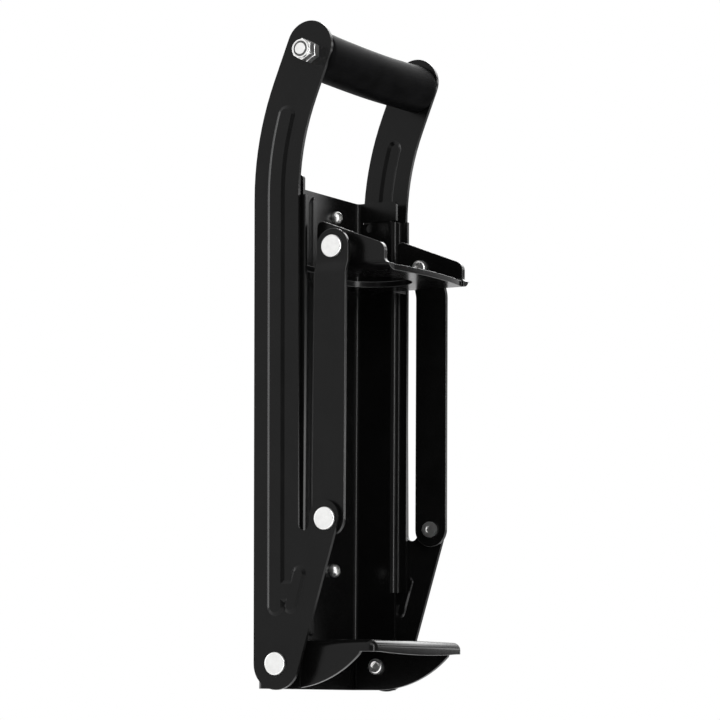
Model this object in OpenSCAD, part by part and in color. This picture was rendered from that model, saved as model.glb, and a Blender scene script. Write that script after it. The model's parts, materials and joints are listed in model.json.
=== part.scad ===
// Wall-mounted lever can crusher.
// A handle hinged at the foot of a stamped channel drives a press head down
// its rails through two links. X is across, -Y is the front, Z is up; the
// back of the channel lies on Y = 0 and its foot on Z = 0.

/* [Back frame] */
// Clear width between the side flanges of the channel
frame_inner_w = 95.2; // [85:0.1:110]
// Height of the channel
frame_h = 264; // [240:1:300]
// Thickness of the channel's sheet
sheet_t = 2; // [1.5:0.1:2.4]
// Depth of the plain side flanges, from the wall
flange_depth = 25.8; // [23:0.1:30]
// Inner radius of the channel's main bends
bend_r = 2; // [1:0.1:4]
// Depth of the guide channel that the rails form in front of the flanges
guide_depth = 4.8; // [4:0.1:6]
// Height at which the rails start
rail_bottom = 52; // [45:1:70]
// Length of the plain flange left above the rails
rail_top_margin = 10.5; // [6:0.5:16]
// Flat between the two bends of the rail's outward step
step_flat = 0.4; // [0.2:0.1:0.8]
// Height of the pressed rib down the middle of the web
rib_h = 1.4; // [0.8:0.1:2]
// Width of that rib at its foot
rib_w = 7.6; // [6:0.1:12]
// Bare margin above and below the rib
rib_margin = 2.6; // [2:0.1:8]
// Diameter of the round hole near the top of each flange
flange_hole_d = 5; // [4:0.1:9]
// Distance of that hole from the wall
flange_hole_out = 8.7; // [8:0.1:14]
// Distance of that hole below the top
flange_hole_drop = 13.6; // [13:0.1:20]
// Height of the slit that parts the rails from the plain top of the flanges
flange_slit_h = 0.7; // [0.5:0.1:1.5]
// Distance of the slit's rear end from the wall
flange_slit_out = 4.6; // [4.2:0.1:8]

/* [Wall screws] */
// Diameter of the four wall-screw holes
wall_hole_d = 5.5; // [4:0.1:7]
// Spacing of the screw holes across the web
wall_hole_pitch_x = 46; // [30:0.5:60]
// Distance of the upper pair of screw holes below the top
wall_hole_drop = 11; // [9:0.5:30]
// Height of the lower pair of screw holes
wall_hole_z = 63; // [50:1:90]

/* [Linkage] */
// Distance of the lever pivot in front of the wall
pivot_out = 16.4; // [15:0.1:18]
// Height of the lever pivot
pivot_z = 12.6; // [12:0.1:16]
// Distance of the ear pivot in front of the lever pivot, handle up
ear_out = 28.5; // [27:0.1:32]
// Height of the ear pivot above the lever pivot, handle up
ear_up = 73; // [68:0.5:78]
// Distance of the press head's pivot below the top of the channel, handle up
head_drop = 38.9; // [36:0.1:50]
// Width of a link
link_w = 18.6; // [16:0.1:19]
// Thickness of a link
link_t = 2; // [1.5:0.1:2.4]
// Side gap between the frame's flange and a link's upper end
link_gap = 0.5; // [0.4:0.1:1]
// Side gap between a link's upper end and the frame's rail
rail_gap = 0.3; // [0.3:0.1:0.6]
// Side gap between a link and the lever's ear, with its washer
ear_gap = 0.7; // [0.5:0.1:1]
// Distance below the head's pivot at which the link's offset bend starts
link_bend_drop = 6; // [4.6:0.1:12]
// Height of that offset bend
link_bend_h = 9; // [7:0.5:14]

/* [Lever arms] */
// Side gap between the frame's rail and a lever arm
arm_gap = 1; // [0.8:0.1:2]
// Thickness of a lever arm
arm_t = 2; // [1.5:0.1:3]
// Width of a lever arm
arm_w = 26.5; // [24:0.1:28]
// Backward lean of the arm's straight part, handle up
arm_lean = 0.5; // [0:0.1:1]
// Distance below the top of the channel at which the arm starts to bend forward
arm_bend_drop = 12; // [2:0.5:24]
// Radius of that bend, on the arm's centre line
arm_bend_r = 147; // [120:1:170]
// Angle of that bend
arm_bend_a = 22.2; // [15:0.1:28]
// Length of the arm beyond the bend, up to the centre of its round end
arm_tip_l = 23.5; // [18:0.5:30]
// Radius of the ear's tip
ear_r = 8.5; // [8:0.1:11]
// Distance of the tip's centre behind and above the ear pivot
ear_shift = 1; // [0:0.1:1.2]
// Depth of the notch behind the ear, from its round bottom's centre to the ear pivot
ear_notch_drop = 2.6; // [0:0.1:8]
// Width of the pressed bead along the arm
bead_w = 10.3; // [8:0.1:12]
// Width of the bead's flat top
bead_top_w = 6.6; // [4:0.1:7.4]
// Height of the bead above the arm
bead_h = 1.1; // [0.6:0.1:1.4]
// Height of the bead's lower end above the lever pivot
bead_start = 29.2; // [26:0.1:40]
// Share of the arm's bend that the bead follows
bead_bend_share = 0.7; // [0.3:0.05:0.9]
// Length of the straight end of the bead beyond that
bead_run = 3; // [1:0.5:8]
// Length of the short bead that branches off towards the ear
branch_l = 16.7; // [12:0.1:22]
// Width of that short bead
branch_w = 8.4; // [5:0.1:9]
// Forward lean of that short bead, from the arm's length
branch_lean = 17.2; // [12:0.1:30]
// Distance of its lower end in front of the arm's middle
branch_out = 8.7; // [6:0.1:9]
// Width of the raised flat that joins the two beads
bead_join_w = 11.4; // [9:0.1:12]
// Height of its middle above the lower end of the beads
bead_join_up = 7.2; // [6:0.1:9]

/* [Grip] */
// Outer diameter of the foam grip
grip_d = 26; // [22:0.5:32]
// Outer diameter of the tube inside the grip
core_d = 12; // [10:0.1:14]
// Wall of that tube
core_wall = 2; // [1.2:0.1:2.4]
// Radius of the grip's rounded end edges
grip_edge_r = 2.4; // [1:0.1:4]
// Diameter of the through bolt
bolt_d = 6; // [5:0.1:6.6]
// Distance of the bolt below the centre of the arm's round end
bolt_drop = 3.4; // [0:0.1:4]
// Distance of the bolt in front of that centre
bolt_out = 0.9; // [0:0.1:2]
// Width across flats of the bolt head and nut
hex_af = 10; // [9:0.1:11]
// Height of the bolt head
bolt_head_h = 4; // [3:0.1:5]
// Height of the plain nut under the lock nut
jam_nut_h = 4.6; // [3:0.1:5.2]
// Height of the lock nut
nut_h = 6; // [5:0.1:7]
// Height of the lock nut's round collar
nut_collar_h = 1.6; // [1:0.1:2]
// Depth of the lock nut's nylon ring below its face
insert_sunk = 0.3; // [0.2:0.1:0.6]
// Outer diameter of the washer under the bolt head
washer_d = 12.4; // [11.8:0.1:14]
// Thickness of that washer
washer_t = 1.6; // [1:0.1:2]
// Length of the bolt that stands past the lock nut
bolt_end = 0.2; // [0.1:0.1:3]

/* [Press head] */
// Width over the head's cheeks
ram_w = 86.8; // [74:0.1:88]
// Thickness of the head's sheet
ram_t = 3; // [1.5:0.1:3.2]
// Inner radius of the head's bends
ram_bend_r = 2.2; // [1:0.1:3]
// Drop from the head's pivot to the underside of its plate
ram_drop = 11.9; // [11:0.1:16]
// Height of the cheek's rear corner above the plate's underside
cheek_h = 26.7; // [25:0.1:30]
// Slope of the cheek's top edge
cheek_slope = 20.8; // [12:0.1:23]
// Distance of the cheek's rear edge from the wall
cheek_rear = 30.6; // [30.4:0.1:33]
// Distance of the cheek's front edge from the wall
cheek_front = 70.6; // [66:0.1:74]
// Radius of the cheek's upper rear corner
cheek_rear_r = 3; // [2:0.1:4]
// Radius of the cheek's upper front corner
cheek_front_r = 5; // [3:0.1:6]
// Distance of the plate's front corners from the wall
plate_front = 71.6; // [70:0.1:76]
// Forward bulge of the plate's front edge
plate_bulge = 4; // [2:0.1:6]
// Gap between the plate's rear edge and the wall
plate_rear = 8.6; // [7:0.1:10]
// Diameter of the round hole in the middle of the plate
plate_hole_d = 42; // [30:0.5:46]
// Distance of that hole's centre from the wall
plate_hole_out = 38.6; // [37:0.1:41]
// Side clearance of the plate in the channel
slide_gap = 0.4; // [0.3:0.05:0.8]

/* [Tray] */
// Height of the tray's top face
tray_h = 25; // [23.5:0.5:30]
// Thickness of the tray's sheet
tray_t = 2; // [1.5:0.1:2.4]
// Distance of the tray's front corners from the wall
tray_front = 68; // [66:0.1:72]
// Forward bulge of the tray's front lip
tray_bulge = 2; // [1:0.1:4]
// Height of the front lip at its ends
lip_h = 6.2; // [5:0.1:8]
// Extra height of the front lip at its middle
lip_sag = 1.2; // [0.6:0.1:2]
// Outer radius of the tray's top bends
tray_edge_r = 4; // [2.6:0.1:5]
// Outer radius of the tray's upright corners
tray_corner_r = 6.5; // [5:0.1:8]
// Radius of the curve under the tray's cheeks
cheek_curve_r = 60; // [54:1:70]
// Distance from the wall at which that curve leaves the foot
cheek_curve_out = 17; // [16:0.5:19]
// Length of the flat under the cheek's front end
cheek_nose = 8.6; // [6:0.1:10]
// Clearance between the tray and the channel
tray_gap = 0.1; // [0.05:0.05:0.2]

/* [Rivets] */
// Shank diameter of the pivot rivets
rivet_d = 6; // [5:0.1:6.6]
// Head diameter of the pivot rivets
rivet_head_d = 11.8; // [11:0.1:13]
// Height of a rivet's outer head
rivet_head_h = 1.8; // [1.4:0.1:2.2]
// Diameter of a rivet's inner, upset end
rivet_tail_d = 8.4; // [7.8:0.1:9]
// Height of that end
rivet_tail_h = 1.6; // [1:0.1:1.6]
// Diameter of the dimple in that end
rivet_dimple_d = 4; // [3:0.1:4.6]
// Depth of that dimple
rivet_dimple_depth = 0.7; // [0.4:0.1:0.9]
// Diameter of the spacers on the rivets
spacer_d = 10.6; // [9.4:0.1:11]
// Radial clearance of a rivet or bolt in its hole
fit_gap = 0.05; // [0.02:0.01:0.08]
// Side clearance at each face of a pivot
face_gap = 0.15; // [0.1:0.05:0.25]

/* [Hidden] */
$fn = 64;
// Overrun of cutting shapes
over = 1;
// Side factor of the right and left halves
right = 1;
left = -1;

// Stations across the part, from the middle outwards
flange_in = frame_inner_w / 2;
flange_out = flange_in + sheet_t;
link_top_in = flange_out + link_gap;
link_top_out = link_top_in + link_t;
rail_in = link_top_out + rail_gap;
rail_out = rail_in + sheet_t;
arm_in = rail_out + arm_gap;
arm_out = arm_in + arm_t;
link_out = arm_in - ear_gap;
link_in = link_out - link_t;
cheek_out = ram_w / 2;
cheek_in = cheek_out - ram_t;
tray_out = flange_in - tray_gap;

// Stations forward of the wall and up
bend_out_r = bend_r + sheet_t;
step_front = flange_depth - step_flat;
step_r = (rail_in - flange_out - step_flat) / 2;
rail_front = step_front + guide_depth;
rail_top = frame_h - rail_top_margin;
flange_corner_r = sheet_t;
ear_pivot_out = pivot_out + ear_out;
ear_pivot_z = pivot_z + ear_up;
head_pivot_z = frame_h - head_drop;
plate_z = head_pivot_z - ram_drop;
hole_d = rivet_d + 2 * fit_gap;
bolt_hole_d = bolt_d + 2 * fit_gap;

// Lever arm's centre line
arm_r = arm_w / 2;
lever_pivot = [pivot_out, pivot_z];
ear_pivot = [ear_pivot_out, ear_pivot_z];
head_pivot = [ear_pivot_out, head_pivot_z];
arm_up = [-sin(arm_lean), cos(arm_lean)];
arm_forward = [cos(arm_lean), sin(arm_lean)];
arm_straight_l = (frame_h - arm_bend_drop - pivot_z) / cos(arm_lean);
// In the arm's own frame, from the lever pivot up along its straight part
tip_way = [sin(arm_bend_a), cos(arm_bend_a)];
tip_rear = [-cos(arm_bend_a), sin(arm_bend_a)];
bend_centre = [arm_bend_r, arm_straight_l];
arm_tip = bend_centre + arm_bend_r * tip_rear + arm_tip_l * tip_way;
bolt_at = lever_pivot + arm_tip[0] * arm_forward + arm_tip[1] * arm_up + [bolt_out, -bolt_drop];
ear_tip = ear_pivot + ear_shift * [-1, 1];
// Loss of width from the outside to the inside of a pressed bead
bead_inset_share = 0.8;
bead_inset = bead_inset_share * arm_t;

// Grip bolt's hardware: stations of the nuts, out from the left arm
hex_ac = hex_af / cos(30);
chamfer_share = 0.95;
collar_share = 0.97;
insert_share = 0.8;
nut_in = arm_out + jam_nut_h;
nut_out = nut_in + nut_h;
collar_in = nut_out - nut_collar_h;
collar_d = hex_af * collar_share;
insert_d = hex_af * insert_share;

// Colours
paint = [0.07, 0.07, 0.075];
zinc = [0.78, 0.78, 0.77];
foam = [0.05, 0.05, 0.05];
nylon = [0.2, 0.2, 0.21];

// Mirror the right half's shapes to the left when side is left
module on(side) {
    if (side == right) children();
    else mirror([1, 0, 0]) children();
}

// Stand a flat shape, drawn as forward and up, at a station across the part
module upright(station) {
    translate([station, 0, 0]) mirror([0, 1, 0]) rotate([90, 0, 90]) children();
}

// Cylinder across the part, from one station to another
module cross_cylinder(place, from, to, diameter) {
    translate([from, -place[0], place[1]]) rotate([0, 90, 0]) cylinder(h = to - from, d = diameter);
}

// Quarter ring of a bend: the centre, its inner radius and the quadrant it fills
module bend_ring(centre, inner_r, thickness, quadrant) {
    outer_r = inner_r + thickness;
    translate(centre) intersection() {
        difference() {
            circle(r = outer_r);
            circle(r = inner_r);
        }
        scale(quadrant) square(outer_r);
    }
}

// Rectangle between two corners
module span(low, high) {
    translate(low) square(high - low);
}

// Section of a pressed bead: a low ridge with sloped sides
module bead_section(width, top_width, height) {
    polygon([[-width / 2, 0], [width / 2, 0], [top_width / 2, height], [-top_width / 2, height]]);
}

// Straight bead along +X, rounded at the listed ends
module bead(length, width, top_width, height, ends) {
    rotate([90, 0, 90]) linear_extrude(length) bead_section(width, top_width, height);
    for (x = ends) translate([x, 0, 0]) cylinder(h = height, d1 = width, d2 = top_width);
}

// Back frame

// Web, its bend and the start of a flange, drawn across and forward
module channel_half() {
    span([0, 0], [flange_in - bend_r, sheet_t]);
    bend_ring([flange_in - bend_r, bend_out_r], bend_r, sheet_t, [1, -1]);
}

module plain_half() {
    channel_half();
    span([flange_in, bend_out_r], [flange_out, flange_depth]);
}

module rail_half() {
    step_back = step_front - sheet_t - step_r;
    channel_half();
    span([flange_in, bend_out_r], [flange_out, step_back]);
    bend_ring([flange_out + step_r, step_back], step_r, sheet_t, [-1, 1]);
    span([flange_out + step_r, step_front - sheet_t], [rail_in - step_r, step_front]);
    bend_ring([rail_in - step_r, step_front + step_r], step_r, sheet_t, [1, -1]);
    span([rail_in, step_front + step_r], [rail_out, rail_front]);
}

module channel_slice(low, high) {
    translate([0, 0, low]) linear_extrude(high - low) mirror([0, 1]) children();
}

// Cutter that rounds the front top corner of both flanges
module flange_corner_cut() {
    upright(-flange_out - over) linear_extrude(2 * (flange_out + over)) difference() {
        span([flange_depth - flange_corner_r, frame_h - flange_corner_r], [flange_depth + over, frame_h + over]);
        translate([flange_depth - flange_corner_r, frame_h - flange_corner_r]) circle(r = flange_corner_r);
    }
}

// Cutter for the slit between the rails and the plain top of both flanges
module flange_slit() {
    slit_r = flange_slit_h / 2;
    upright(-rail_out - over) linear_extrude(2 * (rail_out + over)) {
        translate([flange_slit_out, rail_top - slit_r]) circle(r = slit_r);
        span([flange_slit_out, rail_top - flange_slit_h], [rail_front + over, rail_top]);
    }
}

module wall_holes() {
    for (x = [-1, 1], z = [wall_hole_z, frame_h - wall_hole_drop])
        translate([x * wall_hole_pitch_x / 2, over, z])
            rotate([90, 0, 0]) cylinder(h = sheet_t + 2 * over, d = wall_hole_d);
}

// The web's rib, standing up from the foot of the frame
module web_rib(width, height) {
    rib_top_share = 0.55;
    start = tray_h + rib_margin + width / 2;
    length = frame_h - rib_margin - width / 2 - start;
    translate([0, 0, start]) rotate([0, -90, 90])
        bead(length, width, width * rib_top_share, height, [0, length]);
}

module back_frame() {
    color(paint) difference() {
        union() {
            for (side = [right, left]) on(side) {
                channel_slice(0, rail_bottom) plain_half();
                channel_slice(rail_bottom, rail_top) rail_half();
                channel_slice(rail_top, frame_h) plain_half();
            }
            translate([0, -sheet_t, 0]) web_rib(rib_w, rib_h);
        }
        web_rib(rib_w - bead_inset, rib_h);
        flange_corner_cut();
        flange_slit();
        wall_holes();
        cross_cylinder([flange_hole_out, frame_h - flange_hole_drop], -flange_out - over, flange_out + over,
            flange_hole_d);
        cross_cylinder(lever_pivot, -flange_out - over, flange_out + over, hole_d);
    }
}

// Tray

// Plan of the tray, inset by the given distance
module tray_plan(inset) {
    corner = tray_corner_r - inset;
    corner_x = tray_out - tray_corner_r;
    half = tray_out - inset;
    front = tray_front - inset;
    bulge_r = (pow(corner_x, 2) + pow(tray_bulge, 2)) / (2 * tray_bulge);
    rear = sheet_t + rib_h + tray_gap;
    span([-half, rear], [half, front - corner]);
    for (x = [-1, 1]) translate([x * corner_x, front - corner]) circle(r = corner);
    intersection() {
        span([-corner_x, rear], [corner_x, front + tray_bulge + over]);
        translate([0, front + tray_bulge - bulge_r]) circle(r = bulge_r, $fn = 200);
    }
}

// Side view of the tray's block: square at the wall, rounded at the front top edge
module tray_side(inset) {
    corner = tray_edge_r - inset;
    reach = tray_front + tray_bulge - inset;
    span([0, 0], [reach, tray_h - inset - corner]);
    span([0, 0], [reach - corner, tray_h - inset]);
    translate([reach - corner, tray_h - inset - corner]) circle(r = corner);
}

// Front view of the tray's block, both upper edges rounded
module tray_face(inset) {
    corner = tray_edge_r - inset;
    half = tray_out - inset;
    span([-half, 0], [half, tray_h - inset - corner]);
    span([-half + corner, 0], [half - corner, tray_h - inset]);
    for (x = [-1, 1]) translate([x * (half - corner), tray_h - inset - corner]) circle(r = corner);
}

module tray_block(inset, drop) {
    translate([0, 0, -drop]) intersection() {
        linear_extrude(tray_h + 2 * drop) mirror([0, 1]) tray_plan(inset);
        translate([0, 0, drop]) upright(-tray_out) linear_extrude(2 * tray_out) tray_side(inset);
        translate([0, 0, drop]) rotate([90, 0, 0])
            linear_extrude(tray_front + 2 * tray_bulge) tray_face(inset);
    }
}

// What is cut away below the cheeks: the curve, the nose and the lip's lower edge
module tray_under_cut() {
    nose_z = tray_h - lip_h;
    nose_start = tray_front - cheek_nose;
    curve_top = cheek_curve_out + sqrt(pow(cheek_curve_r, 2) - pow(cheek_curve_r - nose_z, 2));
    curve_end = min(nose_start, curve_top);
    upright(-tray_out - over) linear_extrude(2 * (tray_out + over)) {
        difference() {
            span([cheek_curve_out, -over], [curve_end, nose_z]);
            translate([cheek_curve_out, cheek_curve_r]) circle(r = cheek_curve_r, $fn = 200);
        }
        span([curve_end, -over], [tray_front + 2 * tray_bulge, nose_z]);
    }
}

// The curved lower edge of the lip
module lip_sag_plate() {
    half = tray_out - tray_corner_r - tray_t;
    sag_r = (pow(half, 2) + pow(lip_sag, 2)) / (2 * lip_sag);
    intersection() {
        tray_block(0, 0);
        rotate([90, 0, 0]) linear_extrude(tray_front + 2 * tray_bulge) intersection() {
            translate([0, tray_h - lip_h - lip_sag + sag_r]) circle(r = sag_r, $fn = 200);
            span([-half, tray_h - lip_h - lip_sag], [half, tray_h - tray_t]);
        }
        translate([-tray_out, -tray_front - tray_bulge, 0])
            cube([2 * tray_out, tray_bulge + tray_t, tray_h]);
    }
}

module tray() {
    color(paint) difference() {
        union() {
            difference() {
                tray_block(0, 0);
                tray_block(tray_t, over);
                tray_under_cut();
            }
            difference() {
                lip_sag_plate();
                tray_block(tray_t, over);
            }
        }
        cross_cylinder(lever_pivot, -flange_out, flange_out, hole_d);
    }
}

// Rivets and spacers

// Rivet on the right side: its outer head, shank and dimpled inner end
module rivet(place, tail_face, head_face) {
    tail_end = tail_face - rivet_tail_h;
    color(zinc) difference() {
        union() {
            cross_cylinder(place, tail_face - fit_gap, head_face + fit_gap, rivet_d);
            cross_cylinder(place, tail_end, tail_face, rivet_tail_d);
            rivet_head(place, head_face);
        }
        cross_cylinder(place, tail_end - over, tail_end + rivet_dimple_depth, rivet_dimple_d);
    }
}

// Low round head with a rounded rim
module rivet_head(place, head_face) {
    rim_r = rivet_head_h / 2;
    translate([head_face, -place[0], place[1]]) rotate([0, 90, 0]) rotate_extrude() {
        span([0, 0], [rivet_head_d / 2 - rim_r, rivet_head_h]);
        span([0, 0], [rivet_head_d / 2, rivet_head_h - rim_r]);
        translate([rivet_head_d / 2 - rim_r, rivet_head_h - rim_r]) circle(r = rim_r);
    }
}

module spacer(place, from, to) {
    color(zinc) difference() {
        cross_cylinder(place, from, to, spacer_d);
        cross_cylinder(place, from - over, to + over, hole_d);
    }
}

module lever_rivet(side) {
    on(side) rivet(lever_pivot, tray_out - tray_t, arm_out + face_gap);
}

module lever_spacer(side) {
    on(side) spacer(lever_pivot, flange_out, arm_in - face_gap);
}

// The ear's rivet ends at its washer, beside the link
module ear_rivet(side) {
    on(side) color(zinc) {
        rivet_head(ear_pivot, arm_out);
        cross_cylinder(ear_pivot, link_out + face_gap, arm_out + fit_gap, rivet_d);
    }
}

module ear_spacer(side) {
    on(side) spacer(ear_pivot, link_out + face_gap, arm_in);
}

// The end of the ear's rivet that is upset behind the link
module link_stud(side) {
    tail_end = link_in - rivet_tail_h;
    on(side) color(zinc) difference() {
        union() {
            cross_cylinder(ear_pivot, link_in - fit_gap, link_out, rivet_d);
            cross_cylinder(ear_pivot, tail_end, link_in, rivet_tail_d);
        }
        cross_cylinder(ear_pivot, tail_end - over, tail_end + rivet_dimple_depth, rivet_dimple_d);
    }
}

module head_rivet(side) {
    on(side) rivet(head_pivot, cheek_in, link_top_out + face_gap);
}

module head_spacer(side) {
    on(side) spacer(head_pivot, cheek_out, link_top_in - face_gap);
}

// Lever arms

// Strip of the arm's width between two points
module arm_strip(from, to, width) {
    way = (to - from) / norm(to - from);
    square_to = width / 2 * [way[1], -way[0]];
    polygon([from - square_to, from + square_to, to + square_to, to - square_to]);
}

// Web of the ear: the front edge touches the arm's foot and the ear's round tip,
// and a notch with a round bottom parts the ear from the arm behind it
module ear_web() {
    gap = norm(ear_tip - lever_pivot);
    heading = atan2(ear_tip[1] - pivot_z, ear_tip[0] - pivot_out);
    spread = acos((arm_r - ear_r) / gap);
    front = [cos(heading - spread), sin(heading - spread)];
    notch_z = ear_pivot_z - ear_notch_drop;
    arm_front = pivot_out + arm_r / cos(arm_lean) - (notch_z - pivot_z) * tan(arm_lean);
    ear_rear = ear_tip[0] - ear_r;
    difference() {
        polygon([lever_pivot, lever_pivot + arm_r * front, ear_tip + ear_r * front, ear_tip,
            [ear_rear, ear_tip[1]], [ear_rear, notch_z], [arm_front - over, notch_z]]);
        translate([(arm_front + ear_rear) / 2, notch_z]) circle(r = (ear_rear - arm_front) / 2);
    }
}

// Disc round the bend's centre with a straight run beyond the bend's far end
module bend_disc(radius, run) {
    circle(r = radius, $fn = 200);
    polygon([[0, 0], run * tip_way, run * tip_way + radius * tip_rear, radius * tip_rear]);
}

// The arm's bend and the straight beyond it, cut as one so that they have no seam
module arm_bend() {
    far = 2 * arm_bend_r;
    translate(bend_centre) intersection() {
        difference() {
            bend_disc(arm_bend_r + arm_r, arm_tip_l + over);
            bend_disc(arm_bend_r - arm_r, arm_tip_l + 2 * over);
        }
        polygon([[0, 0], arm_tip_l * tip_way, arm_tip_l * tip_way + far * tip_rear, [-far, 0]]);
    }
}

// Place what is drawn in the arm's own frame
module arm_frame() {
    translate(lever_pivot) rotate(arm_lean) children();
}

module arm_outline() {
    arm_frame() {
        circle(r = arm_r, $fn = 96);
        arm_strip([0, 0], [0, arm_straight_l], arm_w);
        arm_bend();
        translate(arm_tip) circle(r = arm_r, $fn = 96);
    }
    translate(ear_tip) circle(r = ear_r);
    ear_web();
}

// The bead along the arm and round its bend, and the short one towards the ear
module arm_beads(inset) {
    width = bead_w - inset;
    top_width = bead_top_w - inset;
    bend_share_a = arm_bend_a * bead_bend_share;
    arm_frame() {
        translate([0, bead_start]) {
            rotate(90) bead(arm_straight_l - bead_start, width, top_width, bead_h, [0]);
            translate([0, bead_join_up])
                bead(branch_out + branch_w / 4, bead_join_w - inset, bead_join_w - inset - bead_w + bead_top_w, bead_h, []);
            translate([branch_out, 0]) rotate(90 - branch_lean)
                bead(branch_l, branch_w - inset, branch_w - inset - bead_w + bead_top_w, bead_h, [0, branch_l]);
        }
        translate(bend_centre) rotate(180 - bend_share_a) {
            rotate_extrude(angle = bend_share_a, $fn = 200) translate([arm_bend_r, 0])
                bead_section(width, top_width, bead_h);
            translate([arm_bend_r, 0]) rotate(-90) bead(bead_run, width, top_width, bead_h, [bead_run]);
        }
    }
}

module lever_arm(side) {
    on(side) color(paint) difference() {
        union() {
            upright(arm_in) linear_extrude(arm_t) arm_outline();
            upright(arm_out) arm_beads(0);
        }
        upright(arm_in) arm_beads(bead_inset);
        cross_cylinder(lever_pivot, arm_in - over, arm_out + over, hole_d);
        cross_cylinder(ear_pivot, arm_in - over, arm_out + over, hole_d);
        cross_cylinder(bolt_at, arm_in - over, arm_out + over, bolt_hole_d);
    }
}

// Grip

module grip() {
    color(foam) difference() {
        translate([-arm_in + tray_gap, -bolt_at[0], bolt_at[1]]) rotate([0, 90, 0]) rotate_extrude($fn = 96) {
            length = 2 * (arm_in - tray_gap);
            span([0, grip_edge_r], [grip_d / 2, length - grip_edge_r]);
            span([0, 0], [grip_d / 2 - grip_edge_r, length]);
            for (y = [grip_edge_r, length - grip_edge_r])
                translate([grip_d / 2 - grip_edge_r, y]) circle(r = grip_edge_r);
        }
        cross_cylinder(bolt_at, -arm_in, arm_in, core_d + 2 * fit_gap);
    }
}

module grip_core() {
    color(zinc) difference() {
        cross_cylinder(bolt_at, -arm_in, arm_in, core_d);
        cross_cylinder(bolt_at, -arm_in - over, arm_in + over, core_d - 2 * core_wall);
    }
}

// Six-sided prism across the part
module hex_prism(from, to) {
    translate([from, -bolt_at[0], bolt_at[1]]) rotate([0, 90, 0]) cylinder(h = to - from, d = hex_ac, $fn = 6);
}

// Cone that chamfers a hexagon's corners towards the last station
module hex_chamfer(from, to) {
    translate([from, -bolt_at[0], bolt_at[1]]) rotate([0, 90, 0])
        cylinder(h = to - from, d1 = hex_af * chamfer_share + 2 * (to - from), d2 = hex_af * chamfer_share);
}

module grip_bolt() {
    head = arm_out + washer_t;
    color(zinc) {
        cross_cylinder(bolt_at, -nut_out - bolt_end, head + fit_gap, bolt_d);
        intersection() {
            hex_prism(head, head + bolt_head_h);
            hex_chamfer(head, head + bolt_head_h);
        }
    }
}

module bolt_washer() {
    color(zinc) difference() {
        cross_cylinder(bolt_at, arm_out, arm_out + washer_t, washer_d);
        cross_cylinder(bolt_at, arm_out - over, arm_out + washer_t + over, bolt_hole_d);
    }
}

module jam_nut() {
    on(left) color(zinc) difference() {
        intersection() {
            hex_prism(arm_out, nut_in);
            hex_chamfer(arm_out, nut_in);
        }
        cross_cylinder(bolt_at, arm_out - over, nut_in + over, bolt_hole_d);
    }
}

module lock_nut() {
    on(left) color(zinc) difference() {
        union() {
            hex_prism(nut_in, collar_in);
            cross_cylinder(bolt_at, collar_in - fit_gap, nut_out, collar_d);
        }
        cross_cylinder(bolt_at, nut_in - over, collar_in + over, bolt_hole_d);
        cross_cylinder(bolt_at, collar_in, nut_out + over, insert_d);
    }
}

module nut_insert() {
    on(left) color(nylon) difference() {
        cross_cylinder(bolt_at, collar_in, nut_out - insert_sunk, insert_d - 2 * fit_gap);
        cross_cylinder(bolt_at, collar_in - over, nut_out + over, bolt_hole_d);
    }
}

// Links

module link_outline() {
    arm_strip(ear_pivot, head_pivot, link_w);
    for (place = [ear_pivot, head_pivot]) translate(place) circle(r = link_w / 2, $fn = 96);
}

// Front view of a link: its upper end is bent inwards by the offset, in a soft S
module link_section() {
    low = ear_pivot_z - link_w;
    high = head_pivot_z + link_w;
    bend_top = head_pivot_z - link_bend_drop;
    offset_in = link_out - link_top_out;
    steps = 10;
    bend = [for (i = [0:steps])
        [-offset_in * (1 - cos(180 * i / steps)) / 2, bend_top - link_bend_h * (1 - i / steps)]];
    polygon(concat(
        [[link_in, low], [link_out, low]], [for (point = bend) point + [link_out, 0]],
        [[link_top_out, high], [link_top_in, high]], [for (i = [steps:-1:0]) bend[i] + [link_in, 0]]
    ));
}

module link(side) {
    on(side) color(paint) difference() {
        intersection() {
            upright(link_top_in) linear_extrude(link_out - link_top_in) link_outline();
            rotate([90, 0, 0]) linear_extrude(ear_pivot_out + link_w) link_section();
        }
        for (place = [ear_pivot, head_pivot])
            cross_cylinder(place, link_top_in - over, link_out + over, hole_d);
    }
}

// Press head

// Side view of a cheek, from the wall forwards and from the plate up
module cheek_outline() {
    fillet = cheek_front_r / 2;
    rear_c = [cheek_rear + cheek_rear_r, plate_z + cheek_h - cheek_rear_r];
    front_out = cheek_front - cheek_front_r;
    // The sloped top edge touches both corner circles
    fall = (front_out - rear_c[0]) * tan(cheek_slope) + (cheek_front_r - cheek_rear_r) / cos(cheek_slope);
    front_c = [front_out, rear_c[1] - fall];
    upward = [sin(cheek_slope), cos(cheek_slope)];
    difference() {
        union() {
            translate(rear_c) circle(r = cheek_rear_r);
            translate(front_c) circle(r = cheek_front_r);
            polygon([[cheek_rear, plate_z], [cheek_front + fillet, plate_z],
                [cheek_front + fillet, plate_z + ram_t], [cheek_front, plate_z + ram_t + fillet],
                [cheek_front, front_c[1]], front_c, front_c + cheek_front_r * upward,
                rear_c + cheek_rear_r * upward, rear_c, [cheek_rear, rear_c[1]]]);
        }
        translate([cheek_front + fillet, plate_z + ram_t + fillet]) circle(r = fillet);
    }
}

// Front view of the head: the plate's edges turned up into the cheeks
module head_half_face() {
    bend_centre_x = cheek_in - ram_bend_r;
    span([bend_centre_x - over, plate_z], [bend_centre_x, plate_z + ram_t]);
    bend_ring([bend_centre_x, plate_z + ram_t + ram_bend_r], ram_bend_r, ram_t, [1, -1]);
    span([cheek_in, plate_z + ram_t + ram_bend_r], [cheek_out, plate_z + cheek_h]);
}

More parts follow.
